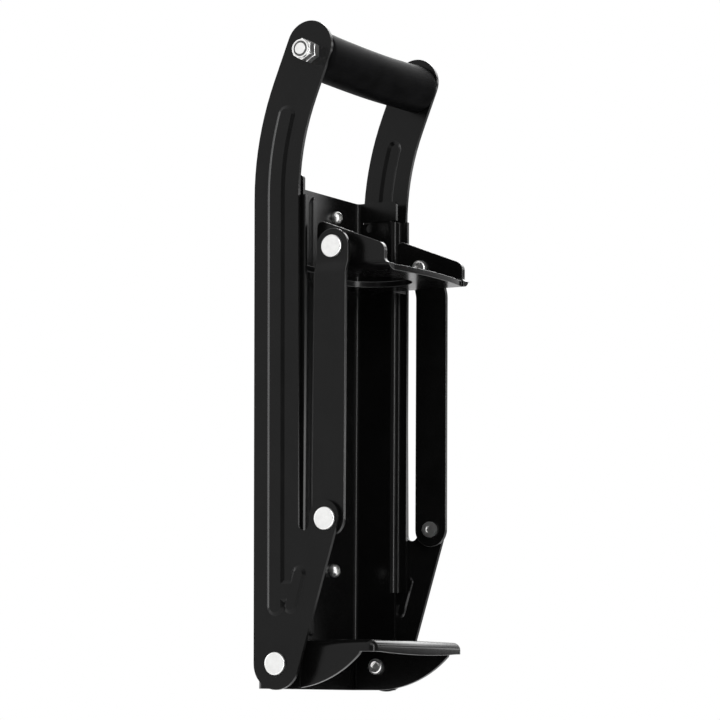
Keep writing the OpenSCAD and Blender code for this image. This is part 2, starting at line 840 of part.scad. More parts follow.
// Plan of the plate: bulged front, full width and guide tabs behind the cheeks
module plate_plan() {
    half = cheek_in - ram_bend_r;
    front = plate_front + plate_bulge;
    bulge_r = (pow(half, 2) + pow(plate_bulge, 2)) / (2 * plate_bulge);
    tab_out = rail_in - slide_gap;
    tab_front = rail_front - slide_gap;
    intersection() {
        span([-half, plate_rear], [half, front]);
        translate([0, front - bulge_r]) circle(r = bulge_r, $fn = 200);
    }
    span([-flange_in + slide_gap, plate_rear], [flange_in - slide_gap, tab_front]);
    span([-tab_out, step_front + slide_gap], [tab_out, tab_front]);
}

module press_head() {
    color(paint) difference() {
        union() {
            translate([0, 0, plate_z]) linear_extrude(ram_t) mirror([0, 1]) plate_plan();
            for (side = [right, left]) on(side) intersection() {
                rotate([90, 0, 0]) linear_extrude(plate_front + plate_bulge) head_half_face();
                upright(0) linear_extrude(cheek_out) cheek_outline();
            }
        }
        translate([0, -plate_hole_out, plate_z - over]) cylinder(h = ram_t + 2 * over, d = plate_hole_d);
        cross_cylinder(head_pivot, -cheek_out - over, cheek_out + over, hole_d);
    }
}

back_frame();
tray();
lever_rivet(left);  // left_lever_rivet
lever_rivet(right);  // right_lever_rivet
lever_spacer(left);  // left_lever_spacer
lever_spacer(right);  // right_lever_spacer
lever_arm(left);  // left_lever_arm
lever_arm(right);  // right_lever_arm
grip();
grip_core();
grip_bolt();
bolt_washer();
jam_nut();
lock_nut();
nut_insert();
ear_rivet(left);  // left_ear_rivet
ear_rivet(right);  // right_ear_rivet
ear_spacer(left);  // left_ear_spacer
ear_spacer(right);  // right_ear_spacer
link(left);  // left_link
link(right);  // right_link
link_stud(left);  // left_link_stud
link_stud(right);  // right_link_stud
press_head();
head_rivet(left);  // left_head_rivet
head_rivet(right);  // right_head_rivet
head_spacer(left);  // left_head_spacer
head_spacer(right);  // right_head_spacer
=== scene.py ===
import json
import math

import bmesh
import bpy
from mathutils import Matrix, Vector


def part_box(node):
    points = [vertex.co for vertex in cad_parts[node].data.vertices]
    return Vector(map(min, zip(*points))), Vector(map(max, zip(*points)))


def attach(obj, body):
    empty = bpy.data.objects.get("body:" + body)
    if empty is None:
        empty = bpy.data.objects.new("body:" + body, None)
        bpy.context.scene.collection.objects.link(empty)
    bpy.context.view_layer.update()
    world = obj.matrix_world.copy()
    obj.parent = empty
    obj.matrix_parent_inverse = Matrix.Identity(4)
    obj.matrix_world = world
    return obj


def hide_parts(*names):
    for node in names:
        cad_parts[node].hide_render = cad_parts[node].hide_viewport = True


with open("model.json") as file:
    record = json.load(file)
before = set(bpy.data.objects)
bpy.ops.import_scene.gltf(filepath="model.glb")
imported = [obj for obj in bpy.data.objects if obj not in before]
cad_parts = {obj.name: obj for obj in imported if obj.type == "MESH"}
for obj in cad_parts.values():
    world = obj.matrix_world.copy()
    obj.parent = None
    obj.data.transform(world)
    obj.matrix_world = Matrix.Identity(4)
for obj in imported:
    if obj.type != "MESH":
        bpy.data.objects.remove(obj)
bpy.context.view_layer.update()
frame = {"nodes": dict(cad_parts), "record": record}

# Wall-mounted lever can crusher: powder-coated sheet steel, zinc fasteners and a foam grip.
# Metres throughout. X is across, -Y is the front, Z is up, and the wall is Y = 0.

MM = 0.001
QUARTER_TURN = math.pi / 2
FULL_TURN = 2 * math.pi
scene = bpy.context.scene
nodes = frame["nodes"]


# Places taken from the frame

grip_low, grip_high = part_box("grip")
core_low, core_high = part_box("grip_core")
tray_low, tray_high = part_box("tray")
screws_mount = next(m for m in frame["record"]["mounts"] if m["name"] == "wall_screws")

SHEET = 2 * MM
SIDES = {"left": -1, "right": 1}


# Node helpers

def new_material(name):
    material = bpy.data.materials.new(name)
    material.use_nodes = True
    tree = material.node_tree
    return material, tree, tree.nodes["Principled BSDF"]


def add_node(tree, kind, inputs=None, **settings):
    node = tree.nodes.new(kind)
    for key, value in settings.items():
        setattr(node, key, value)
    for key, value in (inputs or {}).items():
        node.inputs[key].default_value = value
    return node


def noise(tree, place, scale, detail=3.0, roughness=0.55):
    """Fractal noise over object coordinates; scale is in features per metre."""
    settings = {"Scale": scale, "Detail": detail, "Roughness": roughness}
    node = add_node(tree, "ShaderNodeTexNoise", settings)
    tree.links.new(place, node.inputs["Vector"])
    return node.outputs["Fac"]


def cells(tree, place, scale):
    """Distance from the nearest of many scattered points; scale is in points per metre."""
    node = add_node(tree, "ShaderNodeTexVoronoi", {"Scale": scale, "Randomness": 1.0})
    tree.links.new(place, node.inputs["Vector"])
    return node.outputs["Distance"]


def ramp(tree, factor, stops):
    """Colour ramp: stops are (position, grey or colour)."""
    node = tree.nodes.new("ShaderNodeValToRGB")
    while len(node.color_ramp.elements) < len(stops):
        node.color_ramp.elements.new(0.5)
    for element, (position, colour) in zip(node.color_ramp.elements, stops):
        element.position = position
        element.color = (*colour, 1) if isinstance(colour, tuple) else (colour, colour, colour, 1)
    tree.links.new(factor, node.inputs["Fac"])
    return node.outputs["Color"]


def to_range(tree, factor, low, high):
    node = add_node(tree, "ShaderNodeMapRange", {"To Min": low, "To Max": high})
    tree.links.new(factor, node.inputs["Value"])
    return node.outputs["Result"]


def add_bump(tree, shader, layers):
    """Stacks bumps: layers are (height socket, strength, distance in metres)."""
    normal = None
    for height, strength, distance in layers:
        bump = add_node(tree, "ShaderNodeBump", {"Strength": strength, "Distance": distance})
        tree.links.new(height, bump.inputs["Height"])
        if normal:
            tree.links.new(normal, bump.inputs["Normal"])
        normal = bump.outputs["Normal"]
    tree.links.new(normal, shader.inputs["Normal"])


def place_of(tree):
    return tree.nodes.new("ShaderNodeTexCoord").outputs["Object"]


# Materials
# Scales are in features per metre, depths in metres, and ramp stops are (position, value).

COAT_MOTTLE_SCALE = 60
COAT_DARK = (0.3, 0.8)
COAT_LIGHT = (0.7, 1.25)
COAT_GLOSS_SCALE = 35
PEEL_SCALE = 900
PEEL_DEPTH = 0.03 * MM
FINE_PEEL_SCALE = 3200
FINE_PEEL_DEPTH = 0.01 * MM
FINE_PEEL_SHARE = 0.6

DUST = (0.05, 0.05, 0.052)
DUST_SCALE = 900
DUST_SPECK = [(0.04, 1.0), (0.09, 0.0)]
DUST_PATCH_SCALE = 240
DUST_PATCH = [(0.56, 0.0), (0.66, 1.0)]


def dust_specks(tree, place):
    """1 on small grains, in some patches only, and 0 between them."""
    specks = ramp(tree, cells(tree, place, DUST_SCALE), DUST_SPECK)
    patch = ramp(tree, noise(tree, place, DUST_PATCH_SCALE, detail=2), DUST_PATCH)
    both = add_node(tree, "ShaderNodeMix", {"Factor": 1.0}, data_type="RGBA", blend_type="MULTIPLY")
    tree.links.new(specks, both.inputs["A"])
    tree.links.new(patch, both.inputs["B"])
    return both.outputs["Result"]


def powder_coat(name, grey, gloss_low, gloss_high, peel, shine):
    """Black powder coat: faint mottling, orange peel, and a few pale dust specks."""
    material, tree, shader = new_material(name)
    place = place_of(tree)
    mottle = noise(tree, place, COAT_MOTTLE_SCALE, detail=5)
    base = ramp(tree, mottle, [(at, grey * share) for at, share in (COAT_DARK, COAT_LIGHT)])
    colour = add_node(tree, "ShaderNodeMix", {"B": (*DUST, 1)}, data_type="RGBA")
    tree.links.new(dust_specks(tree, place), colour.inputs["Factor"])
    tree.links.new(base, colour.inputs["A"])
    tree.links.new(colour.outputs["Result"], shader.inputs["Base Color"])
    gloss = to_range(tree, noise(tree, place, COAT_GLOSS_SCALE), gloss_low, gloss_high)
    tree.links.new(gloss, shader.inputs["Roughness"])
    shader.inputs["Specular IOR Level"].default_value = shine
    add_bump(tree, shader, [
        (noise(tree, place, PEEL_SCALE, detail=2), peel, PEEL_DEPTH),
        (noise(tree, place, FINE_PEEL_SCALE, detail=2), peel * FINE_PEEL_SHARE, FINE_PEEL_DEPTH),
    ])
    return material


ZINC_CLOUD_SCALE = 260
ZINC_CLOUD = [(0.25, (0.8, 0.8, 0.79)), (0.75, (0.93, 0.93, 0.92))]
ZINC_GLOSS_SCALE = 500
ZINC_GLOSS_SPREAD = (0.7, 1.4)
DENT_SCALE = 420
DENT_DEPTH = 0.06 * MM
FINE_DENT_SCALE = 2400
FINE_DENT_DEPTH = 0.015 * MM
FINE_DENT_SHARE = 0.7


def zinc_plate(name, roughness, dents):
    """Bright zinc: slightly cloudy, with small dents."""
    material, tree, shader = new_material(name)
    place = place_of(tree)
    cloud = noise(tree, place, ZINC_CLOUD_SCALE, detail=4)
    tree.links.new(ramp(tree, cloud, ZINC_CLOUD), shader.inputs["Base Color"])
    shader.inputs["Metallic"].default_value = 1.0
    low, high = (roughness * share for share in ZINC_GLOSS_SPREAD)
    gloss = to_range(tree, noise(tree, place, ZINC_GLOSS_SCALE), low, high)
    tree.links.new(gloss, shader.inputs["Roughness"])
    add_bump(tree, shader, [
        (noise(tree, place, DENT_SCALE, detail=3), dents, DENT_DEPTH),
        (noise(tree, place, FINE_DENT_SCALE, detail=2), dents * FINE_DENT_SHARE, FINE_DENT_DEPTH),
    ])
    return material


FOAM_MOTTLE_SCALE = 90
FOAM_MOTTLE = [(0.3, (0.002, 0.002, 0.0021)), (0.75, (0.0045, 0.0045, 0.0047))]
FOAM_ROUGHNESS = (0.34, 0.46)
FOAM_SHINE = 0.0035
PORE_SCALE = 2200
PORE_DEPTH = 0.05 * MM
PORE_STRENGTH = 0.4
UNEVEN_SCALE = 450
UNEVEN_DEPTH = 0.08 * MM
UNEVEN_STRENGTH = 0.3


def foam_rubber(name):
    """Matt closed-cell foam: fine pores and soft mottling."""
    material, tree, shader = new_material(name)
    place = place_of(tree)
    mottle = noise(tree, place, FOAM_MOTTLE_SCALE, detail=5)
    tree.links.new(ramp(tree, mottle, FOAM_MOTTLE), shader.inputs["Base Color"])
    tree.links.new(to_range(tree, mottle, *FOAM_ROUGHNESS), shader.inputs["Roughness"])
    shader.inputs["Specular IOR Level"].default_value = FOAM_SHINE
    add_bump(tree, shader, [
        (cells(tree, place, PORE_SCALE), PORE_STRENGTH, PORE_DEPTH),
        (noise(tree, place, UNEVEN_SCALE, detail=4), UNEVEN_STRENGTH, UNEVEN_DEPTH),
    ])
    return material


NYLON_MOTTLE_SCALE = 700
NYLON_MOTTLE = [(0.3, 0.05), (0.7, 0.09)]
NYLON_GLOSS_SCALE = 500
NYLON_ROUGHNESS = (0.4, 0.6)
NYLON_GRAIN_SCALE = 1800
NYLON_GRAIN_DEPTH = 0.02 * MM
NYLON_GRAIN_STRENGTH = 0.2


def dark_nylon(name):
    """Dark nylon: faintly mottled, with a fine grain."""
    material, tree, shader = new_material(name)
    place = place_of(tree)
    mottle = noise(tree, place, NYLON_MOTTLE_SCALE)
    tree.links.new(ramp(tree, mottle, NYLON_MOTTLE), shader.inputs["Base Color"])
    gloss = to_range(tree, noise(tree, place, NYLON_GLOSS_SCALE), *NYLON_ROUGHNESS)
    tree.links.new(gloss, shader.inputs["Roughness"])
    grain = noise(tree, place, NYLON_GRAIN_SCALE)
    add_bump(tree, shader, [(grain, NYLON_GRAIN_STRENGTH, NYLON_GRAIN_DEPTH)])
    return material


# The rounded edges of the sheets and the bevels along the beads get a paler coat than the flats:
# painted highlight
satin_paint = powder_coat("satin_powder_coat", grey=0.003, gloss_low=0.19, gloss_high=0.29,
                          peel=0.3, shine=0.18)
gloss_paint = powder_coat("gloss_powder_coat", grey=0.0025, gloss_low=0.16, gloss_high=0.26,
                          peel=0.2, shine=0.2)
# Painted highlight: a much paler coat for the rounded edges of the sheets
edge_highlight_paint = powder_coat("edge_highlight_coat", grey=0.034, gloss_low=0.2, gloss_high=0.32,
                         peel=0.2, shine=0.6)
# Painted highlight: a paler coat for the rounded edges and bead creases of the lever arms
bead_highlight_paint = powder_coat("bead_highlight_coat", grey=0.007, gloss_low=0.18, gloss_high=0.28,
                         peel=0.2, shine=0.28)
zinc = zinc_plate("zinc_plate", roughness=0.32, dents=0.25)
foam = foam_rubber("grip_foam")
nylon = dark_nylon("insert_nylon")

ZINC_PAIRS = ("lever_rivet", "lever_spacer", "ear_rivet", "ear_spacer",
              "link_stud", "head_rivet", "head_spacer")
finish = {"grip_core": zinc, "grip_bolt": zinc, "bolt_washer": zinc, "jam_nut": zinc,
          "lock_nut": zinc, "nut_insert": nylon,
          "back_frame": gloss_paint, "tray": gloss_paint, "press_head": gloss_paint}
for side in SIDES:
    finish[f"{side}_lever_arm"] = finish[f"{side}_link"] = satin_paint
    for piece in ZINC_PAIRS:
        finish[f"{side}_{piece}"] = zinc

for name, material in finish.items():
    obj = nodes[name]
    obj.data.materials.clear()
    obj.data.materials.append(material)


# Edges: every sheet and hexagon has a small rounded edge that catches the light; on the sheets and
# arms the rounded strip is also painted paler, a painted highlight

WELD_REACH = 0.002 * MM
FLAT_ANGLE = math.radians(0.2)
FOLD_ANGLE = math.radians(60)
BEAD_ANGLE = math.radians(14)
HEX_ANGLE = math.radians(35)
RECESS_ANGLE = math.radians(40)
SHEET_ROUND = 0.28 * MM
HEAD_ROUND = 0.16 * MM
ARM_ROUND = 0.45 * MM
HEX_ROUND = 0.2 * MM
SCREW_ROUND = 0.12 * MM


def soften_edges(obj, width, segments=2, angle=FOLD_ANGLE, highlight_material=None):
    """Rounds every edge sharper than the angle; where a material is given, the rounded strip gets
    it as a painted highlight.
    """
    weld = obj.modifiers.new("join_faces", "WELD")
    weld.merge_threshold = WELD_REACH
    flats = obj.modifiers.new("join_flats", "DECIMATE")
    flats.decimate_type = "DISSOLVE"
    flats.angle_limit = FLAT_ANGLE
    bevel = obj.modifiers.new("edge_round", "BEVEL")
    bevel.width = width
    bevel.segments = segments
    bevel.limit_method = "ANGLE"
    bevel.angle_limit = angle
    bevel.use_clamp_overlap = True
    if highlight_material:
        obj.data.materials.append(highlight_material)
        bevel.material = 1
    even = obj.modifiers.new("even_shading", "WEIGHTED_NORMAL")
    even.weight = 100
    even.keep_sharp = False


# The rounded edges of the frame, links and press head get the paler coat, a painted highlight
for name in ("back_frame", "left_link", "right_link"):
    soften_edges(nodes[name], SHEET_ROUND, highlight_material=edge_highlight_paint)
soften_edges(nodes["press_head"], HEAD_ROUND, highlight_material=edge_highlight_paint)
# The arms' rounded edges and bead creases get the paler coat, a painted highlight
for side in SIDES:
    soften_edges(nodes[f"{side}_lever_arm"], ARM_ROUND, segments=3, angle=BEAD_ANGLE,
                 highlight_material=bead_highlight_paint)
for name in ("lock_nut", "jam_nut", "grip_bolt", "bolt_washer"):
    soften_edges(nodes[name], HEX_ROUND, angle=HEX_ANGLE)


# Mesh helpers

def mesh_object(name, bm, material, smooth=True):
    mesh = bpy.data.meshes.new(name)
    bm.to_mesh(mesh)
    bm.free()
    mesh.materials.append(material)
    for polygon in mesh.polygons:
        polygon.use_smooth = smooth
    obj = bpy.data.objects.new(name, mesh)
    scene.collection.objects.link(obj)
    return obj


def solid_object(name, bm, material, smooth=True):
    """A closed mesh, with its faces turned outwards."""
    bmesh.ops.recalc_face_normals(bm, faces=bm.faces)
    return mesh_object(name, bm, material, smooth)


def join_rings(bm, rings, closed=True):
    """Quads between rings of vertices of the same length, each ring closed on itself."""
    pairs = list(zip(rings, rings[1:])) + ([(rings[-1], rings[0])] if closed else [])
    for one, other in pairs:
        for i in range(len(one)):
            j = (i + 1) % len(one)
            bm.faces.new((one[i], one[j], other[j], other[i]))


def cut_with(obj, cutter):
    """Cuts the cutter's shape out of obj for good and removes the cutter."""
    cut = obj.modifiers.new("cut", "BOOLEAN")
    cut.operation = "DIFFERENCE"
    cut.solver = "EXACT"
    cut.object = cutter
    cut.use_self = True
    bpy.context.view_layer.update()
    view = bpy.context.evaluated_depsgraph_get()
    shape = bpy.data.meshes.new_from_object(obj.evaluated_get(view))
    obj.modifiers.clear()
    obj.data = shape
    bpy.data.objects.remove(cutter)
    for polygon in obj.data.polygons:
        polygon.use_smooth = True


# Foam grip: a soft tube, full at the arms, that hangs a little in the middle

FOAM_SAG = 1.3 * MM
FOAM_EDGE = 2.4 * MM
FOAM_WAIST = 0.35 * MM
FOAM_WAIST_FROM = 0.9
FOAM_LUMP = 0.08 * MM
FOAM_LIP = 0.6 * MM
FOAM_BORE_GAP = 0.05 * MM
FOAM_BORE_INSET = 0.01 * MM
FOAM_ROUND = 96
FOAM_END_STEPS = 8
FOAM_STEPS = 44


def foam_profile(half, radius, bore):
    """The tube's outside from end to end, as places across and radii."""
    end = [(-half, bore + FOAM_LIP)]
    for step in range(FOAM_END_STEPS + 1):
        turn = QUARTER_TURN * step / FOAM_END_STEPS
        end.append((-half + FOAM_EDGE * (1 - math.cos(turn)),
                    radius - FOAM_EDGE * (1 - math.sin(turn))))
    flat = half - FOAM_EDGE
    run = [(-flat + 2 * flat * step / FOAM_STEPS, radius) for step in range(1, FOAM_STEPS)]
    return end + run + [(-x, r) for x, r in reversed(end)]


def foam_lump(turn, share):
    """Slow unevenness of the foam round and along the grip, never outside its round form."""
    return FOAM_LUMP * math.sin(2 * turn + 2.2 * share) * math.sin(3.1 * share + turn) - FOAM_LUMP


def foam_grip():
    axis = (grip_low + grip_high) / 2
    half = (grip_high.x - grip_low.x) / 2
    radius = (grip_high.z - grip_low.z) / 2
    bore = (core_high.z - core_low.z) / 2 + FOAM_BORE_GAP
    bm = bmesh.new()

    def point(x, drop, reach, turn):
        return bm.verts.new((axis.x + x, axis.y + reach * math.sin(turn),
                             axis.z - drop + reach * math.cos(turn)))

    turns = [FULL_TURN * i / FOAM_ROUND for i in range(FOAM_ROUND)]
    rings = []
    for x, r in foam_profile(half, radius, bore):
        share = x / half
        sag = FOAM_SAG * (1 - share * share)
        waist = FOAM_WAIST * (1 - share ** 6) if r > radius * FOAM_WAIST_FROM else 0
        rings.append([point(x, sag, r - waist + foam_lump(turn, share), turn) for turn in turns])
    for x in (half - FOAM_BORE_INSET, -half + FOAM_BORE_INSET):
        rings.append([point(x, 0, bore, turn) for turn in turns])
    join_rings(bm, rings)
    return solid_object("foam_grip", bm, foam)


grip_piece = foam_grip()
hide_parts("grip")
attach(grip_piece, "lever")


# Tray: the solid's folded sheet, with the corners of its lip rounded in all directions

TRAY_TOP = 25 * MM
TRAY_FRONT = 68 * MM
TRAY_BULGE = 2 * MM
TRAY_CORNER_R = 4.6 * MM
TRAY_EDGE_R = 4 * MM
LIP_Z = 18.8 * MM
LIP_SAG = 1.2 * MM
LIP_SAG_INSET = 2 * MM
REAR_STATIONS = [8 * MM, 12 * MM]
CHEEK_CURVE_R = 60 * MM
CHEEK_CURVE_OUT = 17 * MM
CHEEK_END = 59.4 * MM
CHEEK_STEP = 0.5 * MM
HAIR = 0.01 * MM
EDGE_STEPS = 8
CORNER_STEPS = 10
LIP_STEPS = 36
CURVE_STEPS = 30

LEVER_PIVOT_OUT = 16.4 * MM
LEVER_PIVOT_Z = 12.6 * MM
PIVOT_HOLE_R = 3.05 * MM
HOLE_STEPS = 48

tray_half = (tray_high.x - tray_low.x) / 2
tray_rear = -tray_high.y
corner_x = tray_half - TRAY_CORNER_R


def tray_half_outline():
    """Right half of the plan, from the wall to the middle of the lip.

    Each point is its place across and forward, and the outward direction there.
    """
    curve = CHEEK_END - CHEEK_CURVE_OUT
    stations = [tray_rear] + REAR_STATIONS
    stations += [CHEEK_CURVE_OUT + curve * i / CURVE_STEPS for i in range(CURVE_STEPS + 1)]
    stations.append(CHEEK_END + CHEEK_STEP)
    points = [(tray_half, out, 1.0, 0.0) for out in stations]
    for i in range(CORNER_STEPS):
        turn = QUARTER_TURN * i / CORNER_STEPS
        across, out = math.cos(turn), math.sin(turn)
        points.append((corner_x + TRAY_CORNER_R * across,
                       TRAY_FRONT - TRAY_CORNER_R + TRAY_CORNER_R * out, across, out))
    bulge_r = (corner_x ** 2 + TRAY_BULGE ** 2) / (2 * TRAY_BULGE)
    for i in range(LIP_STEPS // 2 + 1):
        across = corner_x * (1 - 2 * i / LIP_STEPS)
        out = TRAY_FRONT + TRAY_BULGE - bulge_r + math.sqrt(bulge_r ** 2 - across ** 2)
        points.append((across, out, across / bulge_r, math.sqrt(1 - (across / bulge_r) ** 2)))
    return points


def tray_foot_z(across, out):
    """Height of the sheet's lower edge: straight, then the cheek's curve, then the sagging lip."""
    if out <= CHEEK_CURVE_OUT:
        return 0
    if out <= CHEEK_END + HAIR:
        return CHEEK_CURVE_R - math.sqrt(CHEEK_CURVE_R ** 2 - (out - CHEEK_CURVE_OUT) ** 2)
    reach = corner_x - LIP_SAG_INSET
    if out < TRAY_FRONT - HAIR or abs(across) >= reach:
        return LIP_Z
    sag_r = (reach ** 2 + LIP_SAG ** 2) / (2 * LIP_SAG)
    return LIP_Z - LIP_SAG + sag_r - math.sqrt(sag_r ** 2 - across ** 2)


def tray_section(foot):
    """The sheet's section as insets and heights: over the bend, down, and back up inside."""
    turns = [QUARTER_TURN * step / EDGE_STEPS for step in range(EDGE_STEPS + 1)]
    inner_r = TRAY_EDGE_R - SHEET
    outside = [(TRAY_EDGE_R * (1 - math.sin(turn)), TRAY_TOP - TRAY_EDGE_R * (1 - math.cos(turn)))
               for turn in turns]
    inside = [(TRAY_EDGE_R - inner_r * math.sin(turn),
               TRAY_TOP - TRAY_EDGE_R + inner_r * math.cos(turn)) for turn in reversed(turns)]
    return outside + [(0, foot), (SHEET, foot)] + inside


def tray_sheet():
    half = tray_half_outline()
    outline = [(-x, out, -nx, ny) for x, out, nx, ny in half] + half[-2::-1]
    bm = bmesh.new()
    columns = [[bm.verts.new((across - nx * inset, -(out - ny * inset), height))
                for inset, height in tray_section(tray_foot_z(across, out))]
               for across, out, nx, ny in outline]
    for one, other in zip(columns, columns[1:]):
        for i in range(len(one) - 1):
            bm.faces.new((one[i], one[i + 1], other[i + 1], other[i]))
    bm.faces.new([column[0] for column in columns])
    bm.faces.new([column[-1] for column in reversed(columns)])
    # Rear faces: the two cheeks' ends and the plate's rear edge in one
    bm.faces.new(columns[0] + columns[-1][::-1])
    return solid_object("tray_sheet", bm, gloss_paint)


def cross_rod(name, out, height, radius, half_length):
    """A rod along X, to cut a hole with."""
    bm = bmesh.new()
    turns = [FULL_TURN * i / HOLE_STEPS for i in range(HOLE_STEPS)]
    ends = [[bm.verts.new((x, -out + radius * math.cos(turn), height + radius * math.sin(turn)))
             for turn in turns] for x in (-half_length, half_length)]
    join_rings(bm, ends, closed=False)
    for ring in ends:
        bm.faces.new(ring)
    return solid_object(name, bm, gloss_paint, smooth=False)


tray_piece = tray_sheet()
cut_with(tray_piece,
         cross_rod("pivot_cutter", LEVER_PIVOT_OUT, LEVER_PIVOT_Z, PIVOT_HOLE_R, 2 * tray_half))
# The tray's rounded edges get the paler coat, a painted highlight
soften_edges(tray_piece, SHEET_ROUND, highlight_material=edge_highlight_paint)
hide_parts("tray")
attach(tray_piece, "frame")


# Rivet tails: a rolled rim round the dimple on the inner end of lever and press-head rivets

TAIL_RIM_R = 2.9 * MM
TAIL_RIM_THICK_R = 0.8 * MM
TAIL_RIM_SUNK = 0.35 * MM
TAIL_RIM_STEPS = 40
TAIL_RIM_THICK_STEPS = 16


def tail_rim(name, place):
    """A ring round X with its middle at place."""
    bm = bmesh.new()
    rings = []
    for i in range(TAIL_RIM_STEPS):
        turn = FULL_TURN * i / TAIL_RIM_STEPS
        ring = []
        for j in range(TAIL_RIM_THICK_STEPS):
            swell = FULL_TURN * j / TAIL_RIM_THICK_STEPS
            reach = TAIL_RIM_R + TAIL_RIM_THICK_R * math.cos(swell)
            ring.append(bm.verts.new((place.x + TAIL_RIM_THICK_R * math.sin(swell),
                                      place.y + reach * math.cos(turn),
                                      place.z + reach * math.sin(turn))))
        rings.append(ring)
    join_rings(bm, rings)
    return solid_object(name, bm, zinc)


for side, sign in SIDES.items():
    for rivet, body in (("lever_rivet", "frame"), ("head_rivet", "press_head")):
        low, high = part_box(f"{side}_{rivet}")
        inner_end = (low.x if sign > 0 else high.x) + sign * TAIL_RIM_SUNK
        middle = Vector((inner_end, (low.y + high.y) / 2, (low.z + high.z) / 2))
        rim = tail_rim(f"{side}_{rivet}_rim", middle)
        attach(rim, body)


# Wall screws: zinc pan heads with a cross recess, in the four holes of the web

SCREW_HEAD_D = 7.2 * MM
SCREW_HEAD_H = 3.9 * MM
SCREW_DOME_SHARE = 0.72
SCREW_DOME_POWER = 0.8
SCREW_RIM = 0.12 * MM
SCREW_SHANK_D = 4.8 * MM
SCREW_END_GAP = 0.1 * MM
SCREW_STEPS = 48
SCREW_DOME_STEPS = 12
# Degrees of turn per metre across, so that the screws don't all stand alike
SCREW_TURN = 9000
RECESS_W = 1.2 * MM
RECESS_L = 4.2 * MM
RECESS_DEPTH = 1.7 * MM
RECESS_OVER = 1 * MM
RECESS_TAPER = 0.62
CORNERS = ((-1, -1), (1, -1), (1, 1), (-1, 1))


def pan_profile():
    """Half of the head and shank's outline, as radii and places along Y."""
    half = SCREW_HEAD_D / 2
    profile = [(0, -SCREW_HEAD_H)]
    for step in range(1, SCREW_DOME_STEPS + 1):
        turn = QUARTER_TURN * step / SCREW_DOME_STEPS
        profile.append((half * math.sin(turn) ** SCREW_DOME_POWER,
                        -SCREW_HEAD_H + SCREW_HEAD_H * SCREW_DOME_SHARE * (1 - math.cos(turn))))
    shank = SCREW_SHANK_D / 2
    return profile + [(half, -SCREW_RIM), (half - SCREW_RIM, 0), (shank, 0),
                      (shank, SHEET - SCREW_END_GAP)]


def recess_cutter(name):
    """Two crossed tapered bars, to cut the recess with."""
    bm = bmesh.new()
    for across, up in ((RECESS_L, RECESS_W), (RECESS_W, RECESS_L)):
        outer = [bm.verts.new((sx * across / 2, -SCREW_HEAD_H - RECESS_OVER, sz * up / 2))
                 for sx, sz in CORNERS]
        inner = [bm.verts.new((sx * across / 2 * RECESS_TAPER, -SCREW_HEAD_H + RECESS_DEPTH,
                               sz * up / 2 * RECESS_TAPER)) for sx, sz in CORNERS]
        join_rings(bm, [outer, inner], closed=False)
        bm.faces.new(outer)
        bm.faces.new(inner)
    return solid_object(name, bm, zinc, smooth=False)


def pan_head(name, place):
    """A pan-head screw that stands out of the web along -Y; place is on the web's front face."""
    profile = pan_profile()
    bm = bmesh.new()
    tip = bm.verts.new((0, profile[0][1], 0))
    end = bm.verts.new((0, profile[-1][1], 0))
    turns = [FULL_TURN * i / SCREW_STEPS for i in range(SCREW_STEPS)]
    rings = [[bm.verts.new((r * math.cos(turn), y, r * math.sin(turn))) for turn in turns]
             for r, y in profile[1:]]
    join_rings(bm, rings, closed=False)
    for i in range(SCREW_STEPS):
        j = (i + 1) % SCREW_STEPS
        bm.faces.new((tip, rings[0][j], rings[0][i]))
        bm.faces.new((end, rings[-1][i], rings[-1][j]))
    head = solid_object(name, bm, zinc)
    cut_with(head, recess_cutter(name + "_cutter"))
    soften_edges(head, SCREW_ROUND, angle=RECESS_ANGLE)
    head.rotation_euler = (0, math.radians(place.x * SCREW_TURN % 90), 0)
    head.location = place
    return head


pitch_x = screws_mount["dims"]["spacing_x_mm"] * MM
pitch_z = screws_mount["dims"]["spacing_y_mm"] * MM
middle_z = screws_mount["pos_m"][2]
for column, across in SIDES.items():
    for row, up in (("lower", -1), ("upper", 1)):
        place = Vector((across * pitch_x / 2, -SHEET, middle_z + up * pitch_z / 2))
        screw = pan_head(f"{column}_{row}_wall_screw", place)
        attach(screw, "frame")


# Camera, from the photograph: a 720 x 720 frame seen from the front left, slightly below

PHOTO_SIDE = 720
FOCAL_PX = 3154.4
SENSOR_WIDTH = 36
AZIMUTH = math.radians(30.142)
PITCH = math.radians(6.306)
ROLL = math.radians(0.335)
DISTANCE = 1.6581
TARGET = Vector((0, -31.442 * MM, 172.322 * MM))
CLIP_NEAR = 0.05
CLIP_FAR = 20


def direction(azimuth, height):
    """Unit vector: azimuth from +X towards +Y, and height above the level, in radians."""
    return Vector((math.cos(azimuth) * math.cos(height), math.sin(azimuth) * math.cos(height),
                   math.sin(height)))


def photo_camera():
    forward = direction(AZIMUTH, PITCH)
    level = Vector((math.sin(AZIMUTH), -math.cos(AZIMUTH), 0))
    upward = level.cross(forward)
    right = level * math.cos(ROLL) + upward * math.sin(ROLL)
    top = upward * math.cos(ROLL) - level * math.sin(ROLL)
    eye = TARGET - forward * DISTANCE
    data = bpy.data.cameras.new("photo_camera")
    data.sensor_width = SENSOR_WIDTH
    data.lens = FOCAL_PX / PHOTO_SIDE * SENSOR_WIDTH
    data.clip_start = CLIP_NEAR
    data.clip_end = CLIP_FAR
    camera = bpy.data.objects.new("photo_camera", data)
    camera.matrix_world = Matrix((
        (right.x, top.x, -forward.x, eye.x),
        (right.y, top.y, -forward.y, eye.y),
        (right.z, top.z, -forward.z, eye.z),
        (0, 0, 0, 1)))
    scene.collection.objects.link(camera)
    scene.camera = camera


photo_camera()


# Floor

FLOOR_Z = -0.42
FLOOR_REACH = 4
FLOOR_MOTTLE_SCALE = 3
FLOOR_MOTTLE = [(0.3, 0.86), (0.7, 0.9)]
FLOOR_ROUGHNESS = 0.9


